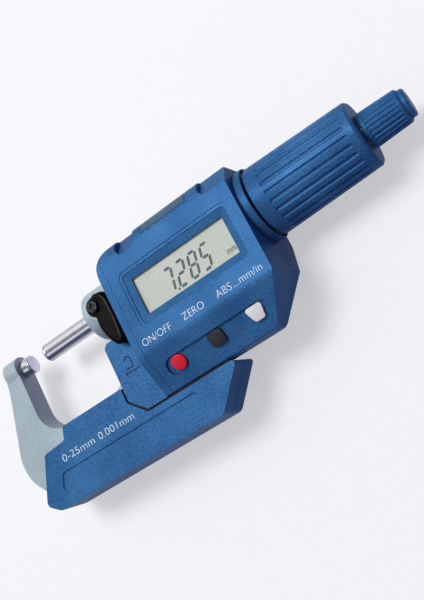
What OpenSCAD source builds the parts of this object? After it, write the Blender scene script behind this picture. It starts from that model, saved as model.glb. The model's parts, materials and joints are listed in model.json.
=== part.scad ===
// Digital outside micrometer, lying on its back with the display up.
// X runs along the measuring line from the anvil to the ratchet and Y towards the top of the housing.
// The origin is the middle of the anvil's measuring face.

/* [Measuring line] */
// Diameter of the anvil and the spindle
rod_d = 6.5; // [5.6:0.1:7]
// Gap between the two measuring faces as drawn
reading = 7.285; // [1:0.005:24]
// Longest gap that can be measured
travel = 25; // [20:1:28]
// Thickness of the carbide faces
tip_t = 1; // [0.6:0.1:1.6]
// Length of the anvil that stands out of the arm
anvil_reach = 4.5; // [3:0.1:7]
// Length of spindle left outside the boss when fully open
boss_margin = 5.8; // [4:0.1:9]
// Outer diameter of the guide sleeve
sleeve_d = 12; // [11:0.1:12.6]
// Diameter of the feed thread on the spindle
thread_d = 6; // [5:0.1:6.4]

/* [Frame] */
// Thickness of the frame plate
frame_t = 8.6; // [7:0.1:10]
// Radius of the arm's round end
arm_r = 5; // [4.6:0.1:5.8]
// Width of the arm at the anvil
arm_w = 5.9; // [5.5:0.1:8]
// Depth of the throat below the measuring line
arch_depth = 26.2; // [22:0.1:26.4]
// Fillet at both ends of the throat
arch_fillet = 9; // [5:0.5:11]
// Radius of the spindle boss
boss_r = 8.8; // [8:0.1:9.4]
// Length of the boss in front of the housing
boss_len = 15.1; // [14:0.1:17]

/* [Housing] */
// Length of the display housing
housing_len = 53; // [51:0.5:56]
// Width of the separate strip at the housing's left end
strip_w = 2.6; // [2:0.1:3.4]
// Wall thickness of the housing
wall = 1.6; // [1.4:0.1:1.8]
// Height of the front face above the measuring line
front_z = 14; // [13.6:0.1:15]
// Depth of the back face below the measuring line
back_z = 13.8; // [13.4:0.1:16]
// Height of the housing's top edge over the measuring line
top_y = 14.5; // [14:0.1:16]
// Fillet along the housing's top edges
top_fillet = 6; // [4:0.5:7]
// Distance from the measuring line to the ridge above the buttons
ridge_y = 23.3; // [22:0.1:25]
// Distance from the measuring line to the housing's lower edge
low_y = 36.9; // [36.5:0.1:37.4]
// Slope of the button strip
slope = 26.7; // [22:0.1:30]
// Depth of the channel that holds the buttons
channel_depth = 0.8; // [0.3:0.1:1]

/* [Display] */
// Width of the display frame
bezel_w = 41.2; // [38:0.1:42]
// Height of the display frame
bezel_h = 17.3; // [16:0.1:18]
// Width of the visible display
view_w = 36.3; // [30:0.1:37]
// Height of the visible display
view_h = 12.5; // [10:0.1:13]

/* [Buttons] */
// Diameter of the round button
round_d = 5.2; // [4.5:0.1:6]
// Width of the square button
square_w = 5.4; // [4.5:0.1:6]
// Longest side of the tapered button
taper_w = 6.1; // [5:0.1:6.6]
// Distance from the housing's left end to the first button
first_in = 10.6; // [10:0.1:12]
// Distance from the last button to the housing's right end
last_in = 12.2; // [12:0.1:14]
// Distance that a button can be pressed
button_travel = 0.6; // [0.3:0.1:0.7]
// Height of the buttons over the sloped strip
button_rise = 0.2; // [0.1:0.1:1]

/* [Thimble] */
// Largest radius of the thimble
thimble_r = 11.7; // [11.2:0.1:12.4]
// Radius at the thimble's rear rim
thimble_rear_r = 10.9; // [10.6:0.1:11.1]
// Length of the thimble
thimble_len = 36.7; // [35:0.1:42]
// Open gap between the collar and the thimble
collar_gap = 0.4; // [0.3:0.1:1.5]
// Length of the collar on the housing
collar_len = 3; // [2.4:0.1:3.4]
// Number of grooves around the thimble
flutes = 24; // [18:2:26]
// Radius of a groove's round section
flute_r = 0.75; // [0.6:0.05:1]
// Depth of the grooves
flute_depth = 0.5; // [0.3:0.05:0.7]

/* [Ratchet] */
// Radius of the ratchet knob at its front
knob_r = 5.9; // [5.8:0.1:6.6]
// Radius of the ratchet knob at its end
knob_tip_r = 5.5; // [5.4:0.1:5.8]
// Length of the ratchet knob without its cap
knob_len = 13.2; // [12.6:0.1:15]
// Number of fine grooves around the knob
knob_flutes = 24; // [18:2:30]
// Thickness of the end cap
cap_t = 1.7; // [1.5:0.1:2.5]

/* [Grip] */
// Height of the grip's front over the measuring line
grip_z = 7; // [6.5:0.1:8]
// Depth of the grip's back below the measuring line
grip_back_z = 6.4; // [6.2:0.1:8]
// Distance from the measuring line to the grip's lower edge
grip_low = 50.8; // [50:0.1:53]
// Depth of the long panel in the grip's front
panel_depth = 0.5; // [0.3:0.1:0.8]
// Height of the chin cover's front over the measuring line
chin_z = 7; // [6.8:0.1:8]

/* [Lock] */
// Distance from the boss's end to the lock's axis
lock_offset = 7.8; // [7.4:0.1:8.2]
// Thickness of the lock lever
lever_t = 3.1; // [2:0.1:3.6]
// Radius of the lever's round head
lever_r = 3.4; // [3.2:0.1:4]

/* [Battery] */
// Diameter of the button cell
cell_d = 11.6; // [9.5:0.1:12]
// Height of the button cell
cell_h = 5.4; // [3.6:0.1:5.6]

/* [Hidden] */
$fn = 64;
// clearances: seated pieces, running fits, and bodies that pass each other
seat = 0.05;
run = 0.03;
clear = 0.3;
rod_r = rod_d / 2;
thread_r = thread_d / 2;
sleeve_r = sleeve_d / 2;
half_t = frame_t / 2;
// stations along the measuring line
boss_x = travel + boss_margin;
housing_x = boss_x + boss_len;
shell_x = housing_x + strip_w;
housing_end = housing_x + housing_len;
collar_end = housing_end + collar_len;
thimble_x = collar_end + collar_gap;
thimble_end = thimble_x + thimble_len;
knob_gap = 0.4;
knob_x = thimble_end + knob_gap;
knob_end = knob_x + knob_len;
part_line = 0.1;
// arm and upright of the frame
arm_back = -anvil_reach - arm_w;
stem_r = rod_r - 0.85;
stem_len = 5;
upright_x = boss_x + 3.8;
upright_end = housing_x - 0.5;
beam_y = -48;
// lock
lock_x = boss_x + lock_offset;
bolt_r = 2.5;
seat_z = boss_r + 0.1;
seat_r = 4.2;
lever_z = seat_z + 0.2;
shoe_top = rod_r + 1.2;
// guide sleeve, feed and encoder
sleeve_x = lock_x + bolt_r + 0.5;
sleeve_end = thimble_x + 0.7;
nut_seat_x = sleeve_end - 2.8;
sleeve_end_r = sleeve_r - 0.8;
guide_end = housing_x + 14;
sleeve_bore = rod_r + 0.75;
key_x = housing_x + 24;
key_r = 0.7;
key_slot = 0.8;
keyway_floor = rod_r - 1.2;
rotor_x = housing_end - 14.3;
rotor_t = 1.5;
rotor_r = 8.6;
stator_r = 8.7;
stator_t = 1.6;
stator_gap = 0.6;
hub_x = rotor_x + rotor_t;
hub_r = sleeve_r + 1.5;
nut_room = nut_seat_x - clear;
hub_face = sleeve_end + 0.8;
hub_outer = sleeve_r + 2.6;
hub_flange = hub_face + 2.8;
thimble_bore = 9.9;
drive_r = 5;
drive_end = hub_face + 8.2;
thread_start = hub_face - (travel - reading) - 2;
rear_wall = 2.2;
wall_x = thimble_end - rear_wall;
spindle_end = wall_x - (travel - reading) - 0.6;
wall_hole = hub_outer + 0.6;
// ratchet
shank_r = 3;
teeth_r = knob_r - 1.4;
teeth_t = 2;
shaft_r = 2.5;
pawl_x = thimble_end + teeth_t + 0.1;
pawl_t = 1.5;
web_t = 2.5;
web_end = knob_end - 2.7;
web_x = web_end - web_t;
shaft_end = web_end + 0.2;
knob_bore = knob_r - 1.1;
screw_r = 1.25;
cap_seat_r = knob_r - 1.8;
// display stack from the front face down
bezel_top = front_z - 0.5;
bezel_t = 0.6;
ledge_z = front_z - wall;
lens_t = 0.75;
lcd_top = ledge_z - 0.4;
lcd_t = 1.3;
pad_t = 0.7;
board_top = lcd_top - lcd_t - pad_t;
board_t = 1;
window_x = (shell_x + housing_end) / 2 + 0.3;
window_y = -6.5;
lip = 0.85;
dish_w = 1.2;
dish_depth = 0.25;
lcd_x = bezel_w - 1.8;
lcd_y = bezel_h - 1.9;
board_gap = 0.6;
board_w = 2 * (housing_end - wall - window_x - board_gap);
board_h = bezel_h + 2.3;
// buttons, measured down the slope from the ridge and along the strip's normal
strip_u = 7.9;
channel_u = 4.9;
channel_h = 6.8;
channel_x = shell_x + 3.4;
channel_margin = 7.7;
crown_r = 18;
channel_w = housing_end - channel_margin - channel_x;
first_button = housing_x + first_in;
button_pitch = (housing_len - first_in - last_in) / 2;
button_gap = 0.15;
flange_t = 0.7;
flange_w = 0.5;
flange_top = -wall - button_gap;
dome_t = 0.5;
dome_r = 2;
key_margin = 2;
dome_top = flange_top - flange_t - 1.4 - button_travel - 0.1;
key_board_top = dome_top - dome_t;
// battery
cell_in = 15;
cell_x = housing_x + cell_in;
cell_y = -2.5;
cover_t = 1.6;
cell_z = -back_z + cover_t + 0.3;
well_r = cell_d / 2 + 0.2;
cover_r = well_r + 0.9;
// housing
split_z = -2;
top_corner = 9;
slant_y = -22.4;
slant_w = 9.5;
low_back_z = 0.4;
flat_end_y = -13;
port_x = housing_x + 20.4;
port_w = 18;
port_z = -6;
port_t = wall - clear;
screw_inset = 3.4;
post_r = 1.8;
house_screw_r = 0.8;
house_head_r = 1.5;
grip_screw_r = 1.1;
grip_head_r = 2.1;
grip_head_t = 1.2;
grip_gap = 0.8;
grip_top = -arch_depth - 0.3;
chin_back_z = -7;
// the rounded corners of outlines are drawn in this many steps
steps = 8;

// finishes
enamel = [0.62, 0.69, 0.70];
pearl_blue = [0.17, 0.36, 0.64];
dark_blue = [0.12, 0.24, 0.45];
steel = [0.75, 0.76, 0.78];
carbide = [0.50, 0.50, 0.55];
brass = [0.78, 0.62, 0.30];
black = [0.06, 0.06, 0.07];
clear_pane = [0.85, 0.88, 0.86];
lcd_grey = [0.78, 0.80, 0.74];
board_green = [0.10, 0.35, 0.22];
red = [0.82, 0.09, 0.16];
slate = [0.20, 0.22, 0.23];
ivory = [0.88, 0.86, 0.82];
teal = [0.24, 0.42, 0.52];

// inward normal of an edge of an outline that runs anticlockwise
function edge_normal(a, b) = [a[1] - b[1], b[0] - a[0]] / norm(b - a);

// outline moved inwards by d, or outwards where d is below zero
function inset(p, d) = [for (i = [0:len(p) - 1])
  let (n1 = edge_normal(p[(i + len(p) - 1) % len(p)], p[i]))
  let (n2 = edge_normal(p[i], p[(i + 1) % len(p)]))
  p[i] + (n1 + n2) * d / (1 + n1 * n2)];

// one corner drawn as an arc of radius r
function corner(a, b, c, r) = r <= 0 ? [b] :
  let (u = (a - b) / norm(a - b), v = (c - b) / norm(c - b))
  let (half = acos(max(-1, min(1, u * v))) / 2, mid = b + (u + v) / norm(u + v) * r / sin(half))
  let (p = b + u * r / tan(half) - mid, q = b + v * r / tan(half) - mid)
  let (from = atan2(p[1], p[0]), turn = atan2(q[1], q[0]) - from)
  let (sweep = turn > 180 ? turn - 360 : turn < -180 ? turn + 360 : turn)
  [for (k = [0:steps]) mid + r * [cos(from + sweep * k / steps), sin(from + sweep * k / steps)]];

// outline with every corner rounded by its own radius
function rounded(p, r) = [for (i = [0:len(p) - 1])
  each corner(p[(i + len(p) - 1) % len(p)], p[i], p[(i + 1) % len(p)], r[i])];

function lessen(r, d) = [for (v = r) max(v - d, 0.3)];

// rectangle about the middle, as an outline
function box_outline(w, h) = [[-w / 2, -h / 2], [w / 2, -h / 2], [w / 2, h / 2], [-w / 2, h / 2]];

function even(r, n) = [for (i = [1:n]) r];

module rod(x0, x1, r) {
  translate([x0, 0, 0])
    rotate([0, 90, 0])
      cylinder(r = r, h = x1 - x0);
}

module ring(x0, x1, r_out, r_in) {
  difference() {
    rod(x0, x1, r_out);
    rod(x0 - 1, x1 + 1, r_in);
  }
}

// body turned about the measuring line from an outline of x and radius
module turned(p) {
  rotate([0, 90, 0])
    rotate([0, 0, 180])
      rotate_extrude()
        polygon([for (q = p) [q[1], q[0]]]);
}

// plate between two heights with rounded corners
module plate(p, r, z0, z1) {
  translate([0, 0, z0])
    linear_extrude(z1 - z0)
      polygon(rounded(p, r));
}

module pane(w, h, r, z0, z1) {
  translate([window_x, window_y, 0])
    plate(box_outline(w, h), even(r, 4), z0, z1);
}

module slab(x0, x1, y0, y1, z0, z1) {
  translate([x0, y0, z0])
    cube([x1 - x0, y1 - y0, z1 - z0]);
}

module post(x, y, r, z0, z1) {
  translate([x, y, z0])
    cylinder(r = r, h = z1 - z0);
}

// places children on the sloped strip: X along it, Y up the slope from the ridge, Z out of it
module on_strip(x, u) {
  translate([0, -ridge_y, front_z])
    rotate([slope, 0, 0])
      translate([x, -u, 0])
        children();
}

frame_outline = [[arm_back, 0], [arm_back - 0.9, -5.5], [arm_back - 4.1, -15.8], [arm_back - 8, -28],
  [arm_back - 8, -36], [arm_back - 0.1, -46], [arm_back + 6, beam_y], [housing_x + 12, beam_y],
  [housing_x + 21.5, -low_y - 2.3], [upright_end, -low_y - 2.3], [upright_end, -5], [upright_x, -5],
  [upright_x, -arch_depth], [-anvil_reach, -arch_depth], [-anvil_reach, 0]];
frame_radii = [0, 6, 30, 12, 14, 8, 4, 4, 2, 0.5, 0, 0, arch_fillet, arch_fillet, 0];

grip_outline = [[-anvil_reach + 9.5, grip_top], [-anvil_reach + 7.8, grip_top - 4.3],
  [arm_back + 4, grip_top - 5.1], [arm_back - 3.4, -grip_low + 3.6], [arm_back + 1.4, -grip_low],
  [housing_x + 14.5, -grip_low], [housing_x + 27.1, -low_y - grip_gap],
  [boss_x + 6.5, -low_y - grip_gap], [boss_x + 0.7, -low_y + 5.1], [boss_x + 0.7, grip_top]];
grip_radii = [0.8, 0.8, 1, 2.2, 2.2, 3, 1, 0.5, 0.5, 0.5];

panel_outline = [[arm_back + 7.7, -low_y - 3.2], [arm_back + 4.6, -grip_low + 3.8],
  [housing_x + 6.6, -grip_low + 3.8], [housing_x + 12.4, -low_y - 3.2]];

chin_outline = [[boss_x + 1.7, -12.6], [boss_x + 1.5, -low_y + 5.5], [boss_x + 6.9, -low_y],
  [housing_x - part_line, -low_y], [housing_x - part_line, -boss_r - 2.4], [boss_x + 3.1, -boss_r - 2.4]];
chin_radii = [0.6, 0.8, 0.8, 0, 0, 0.6];

// band between the grip's upper edge and the chin's and housing's lower edges
seal_y = -low_y - 0.1;
seal_h = grip_gap - 0.2;
seal_end = housing_x + 24;
seal_outline = [[boss_x + 0.8, grip_top], [boss_x + 0.8, -low_y + 5.2], [boss_x + 6.6, seal_y - seal_h],
  [seal_end, seal_y - seal_h], [seal_end, seal_y], [boss_x + 6.8, seal_y], [boss_x + 1.4, -low_y + 5.4],
  [boss_x + 1.4, grip_top]];

// the housing's section across the measuring line and its outline from the front
profile = [[top_y, -back_z], [top_y, front_z], [-ridge_y, front_z],
  [-low_y, front_z - (low_y - ridge_y) * tan(slope)], [-low_y, low_back_z], [flat_end_y, -back_z]];
profile_radii = [top_fillet, top_fillet, 5, 1, 1.2, 5];
// the inside keeps a large front top radius, so that the finger recesses don't break through
inner_radii = [3, top_fillet + 2, 3, 0.5, 0.5, 3];
face = [[housing_x, -low_y], [housing_end - slant_w, -low_y], [housing_end, slant_y],
  [housing_end, top_y], [housing_x, top_y]];
face_radii = [0.5, 3, 1, 0.8, top_corner];

module housing_solid(d) {
  intersection() {
    translate([0, 0, -back_z - 5])
      linear_extrude(front_z + back_z + 10)
        polygon(rounded(inset(face, d), lessen(face_radii, d)));
    translate([housing_x - 5, 0, 0])
      rotate([90, 0, 90])
        linear_extrude(housing_len + 10)
          polygon(rounded(inset(profile, d), d > 0 ? inner_radii : profile_radii));
  }
}

module c_frame() color(enamel) {
  difference() {
    union() {
      plate(frame_outline, frame_radii, -half_t, half_t);
      rod(arm_back, -anvil_reach, arm_r);
      turned(concat([[boss_x, 0], [shell_x, 0], [shell_x, boss_r]],
        corner([shell_x, boss_r], [boss_x, boss_r], [boss_x, 0], 2)));
      post(lock_x, 0, seat_r, 0, seat_z);
    }
    rod(-anvil_reach - stem_len, -anvil_reach + 1, stem_r + seat);
    rod(boss_x - 1, sleeve_x + 1, rod_r + run);
    rod(sleeve_x, shell_x + 1, sleeve_r + seat);
    post(lock_x, 0, bolt_r + seat, 0, seat_z + 1);
    for (p = grip_screw_at)
      post(p[0], p[1], grip_screw_r + 0.3, -half_t - 1, half_t + 1);
  }
}

module anvil() color(steel) {
  rod(-anvil_reach - stem_len + 0.2, -anvil_reach, stem_r);
  rod(-anvil_reach, -tip_t, rod_r);
}

module anvil_tip() color(carbide) {
  edge = 0.25;
  turned([[-tip_t, 0], [0, 0], [0, rod_r - edge], [-edge, rod_r], [-tip_t, rod_r]]);
}

module spindle() color(steel) {
  edge = 0.5;
  key_from = key_x - key_r - (travel - reading) - 1;
  key_to = key_x + key_r + reading + 1;
  difference() {
    turned([[reading + tip_t, 0], [spindle_end, 0], [spindle_end, thread_r - edge],
      [spindle_end - edge, thread_r], [thread_start, thread_r], [thread_start - edge, rod_r],
      [reading + tip_t, rod_r]]);
    slab(key_from, key_to, keyway_floor, rod_r + 1, -key_slot, key_slot);
  }
}

module spindle_tip() color(carbide) {
  edge = 0.25;
  turned([[reading, 0], [reading + tip_t, 0], [reading + tip_t, rod_r], [reading + edge, rod_r],
    [reading, rod_r - edge]]);
}

module spindle_key() color(steel) {
  translate([key_x, keyway_floor + 0.2, 0])
    rotate([-90, 0, 0])
      cylinder(r = key_r, h = sleeve_r - keyway_floor - 0.3);
}

module guide_sleeve() color(steel) {
  difference() {
    turned([[sleeve_x, 0], [sleeve_end, 0], [sleeve_end, sleeve_end_r], [nut_seat_x, sleeve_end_r],
      [nut_seat_x, sleeve_r], [sleeve_x, sleeve_r]]);
    rod(sleeve_x - 1, guide_end + 1, rod_r + run);
    rod(guide_end, sleeve_end + 1, sleeve_bore);
    translate([key_x, 0, 0])
      rotate([-90, 0, 0])
        cylinder(r = key_r + 0.02, h = sleeve_r + 1);
  }
}

module sleeve_nut() color(steel) {
  slot = 1.6;
  nut_r = sleeve_r + 1.3;
  difference() {
    ring(nut_seat_x, sleeve_end - 0.2, nut_r, sleeve_end_r + seat);
    for (a = [0, 90])
      rotate([a, 0, 0])
        slab(sleeve_end - 1.2, sleeve_end, -nut_r - 1, nut_r + 1, -slot / 2, slot / 2);
  }
}

module drive_hub() color(steel) {
  difference() {
    turned([[hub_x, 0], [hub_flange, 0], [hub_flange, thimble_bore - seat],
      [thimble_x + 0.4, thimble_bore - seat], [thimble_x + 0.4, hub_outer],
      [nut_room - 1.2, hub_outer], [nut_room - 1.2, hub_r], [hub_x, hub_r]]);
    rod(hub_x - 1, nut_room + 1, sleeve_r + 0.06);
    rod(nut_room, hub_face, sleeve_r + 1.3 + clear);
    rod(hub_face - 1, hub_flange + 1, drive_r + seat);
  }
}

module drive_nut() color(brass) {
  ring(hub_face, drive_end, drive_r, thread_r + 0.05);
}

module encoder_stator() color(board_green) {
  ring(rotor_x - stator_gap - stator_t, rotor_x - stator_gap, stator_r, sleeve_r + seat);
}

module encoder_rotor() color(brass) {
  ring(rotor_x, hub_x, rotor_r, sleeve_r + clear);
}

module collar_ring() color(pearl_blue) {
  outer = thimble_r + 0.9;
  neck = outer - 0.4;
  lip_r = outer - 0.5;
  lip_t = 1.2;
  difference() {
    turned([[housing_end, 0], [collar_end - lip_t, 0], [collar_end - lip_t, lip_r], [collar_end, lip_r],
      [collar_end, outer - 0.2], [collar_end - 0.2, outer], [housing_end + 0.6, outer],
      [housing_end + 0.4, neck], [housing_end, neck]]);
    rod(housing_end - 1, collar_end + 1, wall_hole);
  }
}

module thimble() color(pearl_blue) {
  flute_x0 = thimble_x + 4.6;
  flute_x1 = thimble_end - 3;
  phase = 8.5;
  rim = 0.8;
  lead = 0.5;
  tilt = atan((thimble_r - thimble_rear_r) / (thimble_len - rim));
  // distance from the measuring line to a groove's axis at its front end
  lift = thimble_r - (flute_x0 - thimble_x) * tan(tilt) + flute_r - flute_depth;
  difference() {
    turned([[thimble_x, 0], [thimble_end, 0], [thimble_end, thimble_rear_r - 0.7],
      [thimble_end - rim, thimble_rear_r], [thimble_x + 1.5, thimble_r], [thimble_x + lead, thimble_r],
      [thimble_x, thimble_r - lead]]);
    rod(thimble_x - 1, hub_flange + 0.5, thimble_bore);
    rod(hub_flange, wall_x, thimble_bore - 1);
    rod(wall_x - 1, thimble_end + 1, shank_r + seat);
    for (k = [1:flutes])
      rotate([360 / flutes * k + phase, 0, 0])
        translate([flute_x0 + flute_r, lift, 0])
          rotate([0, 0, -tilt])
            groove(flute_x1 - flute_x0 - 2 * flute_r, flute_r);
  }
}

// round-ended cutter lying along X
module groove(len, r) {
  turned(concat([for (k = [0:6]) [-r * cos(15 * k), r * sin(15 * k)]],
    [for (k = [0:6]) [len + r * sin(15 * k), r * cos(15 * k)]]));
}

module ratchet_stub() color(steel) {
  notch = 0.7;
  teeth = 12;
  difference() {
    union() {
      rod(wall_x, thimble_end, shank_r);
      rod(thimble_end, thimble_end + teeth_t, teeth_r);
      rod(thimble_end + teeth_t, shaft_end, shaft_r);
    }
    rod(web_x - 2, shaft_end + 1, screw_r + seat);
    for (k = [1:teeth])
      rotate([360 / teeth * k, 0, 0])
        slab(thimble_end + teeth_t - 0.5, thimble_end + teeth_t + 1, shaft_r + 0.4, teeth_r + 1,
          -notch / 2, notch / 2);
  }
}

module ratchet_pawl() color(brass) {
  ring(pawl_x, pawl_x + pawl_t, knob_bore - seat, shaft_r + 0.1);
}

module ratchet_spring() color(steel) {
  ring(pawl_x + pawl_t, web_x, shaft_r + 1.4, shaft_r + 0.7);
}

module ratchet_knob() color(pearl_blue) {
  cut_r = 0.5;
  cut_x0 = knob_x + 1.4;
  cut_x1 = knob_end - 1;
  lead = 0.4;
  edge = 0.6;
  tilt = atan((knob_r - knob_tip_r) / (knob_len - lead - edge));
  difference() {
    turned([[knob_x, 0], [knob_end, 0], [knob_end, knob_tip_r - edge], [knob_end - edge, knob_tip_r],
      [knob_x + lead, knob_r], [knob_x, knob_r - lead]]);
    rod(knob_x - 1, web_x, knob_bore);
    rod(web_x - 1, web_end + 1, shaft_r + seat);
    rod(web_end, knob_end + 1, cap_seat_r);
    for (k = [1:knob_flutes])
      rotate([360 / knob_flutes * k, 0, 0])
        translate([knob_x + lead, knob_r + 0.15, 0])
          rotate([0, 0, -tilt])
            rod(cut_x0 - knob_x - lead, cut_x1 - knob_x - lead, cut_r);
  }
}

module ratchet_screw() color(steel) {
  head_r = knob_r - 2.4;
  drive = 0.9;
  difference() {
    union() {
      rod(web_x, shaft_end, screw_r);
      rod(shaft_end, knob_end - 0.6, head_r);
    }
    slab(knob_end - 1.2, knob_end, -head_r - 1, head_r + 1, -drive / 2, drive / 2);
  }
}

module ratchet_cap() color(pearl_blue) {
  lip_t = 0.3;
  lead = 0.4;
  rim_r = knob_tip_r - 0.9;
  turned([[knob_end - lip_t, 0], [knob_end + cap_t, 0], [knob_end + cap_t, rim_r - lead],
    [knob_end + cap_t - lead, rim_r], [knob_end, rim_r], [knob_end, cap_seat_r - seat],
    [knob_end - lip_t, cap_seat_r - seat]]);
}

// four posts near the housing's corners
house_screw_at = [[shell_x + screw_inset, top_y - 3.3], [housing_end - 7, top_y - 3.3],
  [shell_x + screw_inset - 0.4, slant_y], [housing_end - wall - 1.4, slant_y]];

grip_screw_at = [[arm_back + 12, -41], [boss_x - 4, -grip_low + 12], [housing_x + 10, -43]];

module shell() {
  difference() {
    housing_solid(0);
    housing_solid(wall);
    slab(housing_x - 1, shell_x + part_line, -low_y - 9, top_y + 9, -back_z - 9, front_z + 9);
    rod(housing_end - wall - 1, housing_end + 1, wall_hole);
  }
}

// finger recess cut across the front top edge
module scallop(x0, x1) {
  reach = 12;
  translate([(x0 + x1) / 2, top_y - top_fillet - 0.3, front_z])
    rotate([-45, 0, 0])
      translate([0, reach / 2, 0])
        plate(box_outline(x1 - x0, reach), even(2.5, 4), -0.1, 6);
}

module button_outline(kind, grow) {
  if (kind == 0)
    circle(r = round_d / 2 + grow);
  if (kind == 1)
    polygon(rounded(box_outline(square_w + 2 * grow, square_w * 0.92 + 2 * grow), even(1.2 + grow, 4)));
  if (kind == 2)
    polygon(rounded(inset([[-taper_w * 0.29, -taper_w * 0.4], [taper_w * 0.29, -taper_w * 0.4],
      [taper_w / 2, taper_w * 0.4], [-taper_w / 2, taper_w * 0.4]], -grow), even(0.9 + grow, 4)));
}

function button_x(kind) = first_button + button_pitch * kind;

module housing_front() color(pearl_blue) {
  stand_u = strip_u - 1;
  difference() {
    union() {
      difference() {
        shell();
        slab(housing_x, housing_end + 9, -low_y - 9, top_y + 9, -back_z - 9, split_z);
      }
      intersection() {
        housing_solid(0.5);
        union() {
          for (p = house_screw_at)
            post(p[0], p[1], post_r, split_z, front_z);
          for (sx = [-1, 1], sy = [-1, 1])
            post(window_x + sx * (board_w / 2 - 1.2), window_y + sy * (board_h / 2 - 1), 0.9,
              board_top, ledge_z + 0.3);
          for (k = [0.5, 1.5])
            on_strip(button_x(k), stand_u)
              translate([0, 0, key_board_top])
                cylinder(r = 1, h = -key_board_top - 1);
        }
      }
    }
    pane(bezel_w + 2 * dish_w, bezel_h + 2 * dish_w, 2.4, front_z - dish_depth, front_z + 1);
    pane(bezel_w + 0.2, bezel_h + 0.2, 1.6, bezel_top - bezel_t, front_z + 1);
    pane(view_w + 2 * lip + 0.2, view_h + 2 * lip + 0.2, 0.8, ledge_z - 0.5, front_z + 1);
    on_strip(channel_x + channel_w / 2, channel_u + channel_h / 2)
      plate(box_outline(channel_w, channel_h), [channel_h / 2 - 0.1, 2, 2, channel_h / 2 - 0.1],
        -channel_depth, 3);
    for (k = [0:2])
      on_strip(button_x(k), strip_u)
        translate([0, 0, -wall - 1])
          linear_extrude(wall + 3)
            button_outline(k, button_gap);
    for (p = house_screw_at)
      post(p[0], p[1], house_screw_r + 0.02, split_z - 1, split_z + 5);
    scallop(housing_x + 9.4, housing_x + 17);
    scallop(housing_end - 9.6, housing_end + 4);
    port_block(0.15);
  }
}

module port_block(grow) {
  slab(port_x - grow, port_x + port_w + grow, top_y - 4 - grow, top_y + 2, port_z - grow, front_z + 2);
}

module housing_back() color(pearl_blue) {
  difference() {
    union() {
      difference() {
        shell();
        slab(housing_x, housing_end + 9, -low_y - 9, top_y + 9, split_z - part_line, front_z + 9);
      }
      intersection() {
        housing_solid(0.5);
        union() {
          for (p = house_screw_at)
            post(p[0], p[1], post_r, -back_z, split_z - part_line);
          post(cell_x, cell_y, cover_r + 1, -back_z, cell_z + 2);
        }
      }
    }
    post(cell_x, cell_y, cover_r + 0.1, -back_z - 1, -back_z + cover_t);
    post(cell_x, cell_y, well_r, -back_z - 1, cell_z + 3);
    for (p = house_screw_at) {
      post(p[0], p[1], house_screw_r + 0.1, -back_z - 1, split_z + 1);
      post(p[0], p[1], house_head_r + 0.1, -back_z - 1, screw_seat(p));
    }
    port_block(0.15);
  }
}

// height of the housing's back at a distance from the measuring line
function back_at(y) = y > flat_end_y ? -back_z :
  -back_z + (flat_end_y - y) * (low_back_z + back_z) / (low_y + flat_end_y);

function screw_seat(p) = back_at(p[1]) + 2.6;

module housing_strip() color(pearl_blue) {
  difference() {
    housing_solid(0);
    slab(shell_x, housing_end + 9, -low_y - 9, top_y + 9, -back_z - 9, front_z + 9);
    rod(housing_x - 1, shell_x + 1, boss_r + 0.1);
  }
}

module housing_screws() color(steel) {
  drive = 0.5;
  for (p = house_screw_at)
    difference() {
      union() {
        post(p[0], p[1], house_screw_r, screw_seat(p), split_z + 4.5);
        post(p[0], p[1], house_head_r, screw_seat(p) - 1, screw_seat(p));
      }
      translate([p[0], p[1], screw_seat(p)])
        slab(-house_head_r - 1, house_head_r + 1, -drive / 2, drive / 2, -2, -0.5);
    }
}

// the frame with seating room all round, for the covers that wrap it
module frame_room() {
  plate(inset(frame_outline, -seat), frame_radii, -half_t - seat, half_t + seat);
}

module chin_front() color(pearl_blue) {
  line = 0.32;
  depth = 0.3;
  body_w = 3.2;
  body_h = 2.8;
  shackle_r = 1.3;
  arrow = 6.4;
  barb = 0.8;
  difference() {
    plate(chin_outline, chin_radii, part_line / 2, chin_z);
    frame_room();
    // open padlock with an arrow under it, cut into the front
    translate([boss_x + 5.8, -22.5, chin_z - depth])
      linear_extrude(1) {
        square([body_w, line]);
        translate([body_w - shackle_r, body_h])
          difference() {
            circle(r = shackle_r);
            circle(r = shackle_r - line);
            translate([-2 * shackle_r, -2 * shackle_r])
              square([4 * shackle_r, 2 * shackle_r]);
          }
        translate([body_w - line, 0])
          square([line, body_h]);
        translate([-1, -1.2])
          polygon([[0, 0], [barb, barb], [barb, line / 2], [arrow, line / 2], [arrow, -line / 2],
            [barb, -line / 2], [barb, -barb]]);
      }
  }
}

module chin_back() color(pearl_blue) {
  difference() {
    plate(chin_outline, chin_radii, chin_back_z, -part_line / 2);
    frame_room();
  }
}

// room above four planes that rise outwards from the window's edges
module window_funnel() {
  pitch = 14;
  half = 40;
  intersection_for (side = [0:3]) {
    reach = side % 2 == 0 ? view_w / 2 : view_h / 2;
    translate([window_x, window_y, bezel_top - bezel_t + 0.1])
      rotate([0, 0, 90 * side])
        translate([reach, 0, 0])
          rotate([0, -pitch, 0])
            slab(-2 * half, half, -half, half, 0, half);
  }
}

module bezel_frame() color(dark_blue) {
  difference() {
    pane(bezel_w, bezel_h, 1.5, bezel_top - bezel_t, bezel_top);
    pane(view_w, view_h, 0.3, bezel_top - bezel_t - 1, bezel_top + 1);
    window_funnel();
  }
}

module window_lens() color(clear_pane) {
  pane(view_w + 2 * lip, view_h + 2 * lip, 0.7, lcd_top, bezel_top - bezel_t);
}

module lcd_panel() color(lcd_grey) {
  pane(lcd_x, lcd_y, 0.3, lcd_top - lcd_t, lcd_top);
}

module lcd_connector() color(slate) {
  strip_h = 1.5;
  for (s = [-1, 1])
    translate([0, s * (lcd_y / 2 - strip_h), 0])
      pane(lcd_x - 4, strip_h, 0.2, board_top, lcd_top - lcd_t);
}

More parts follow.
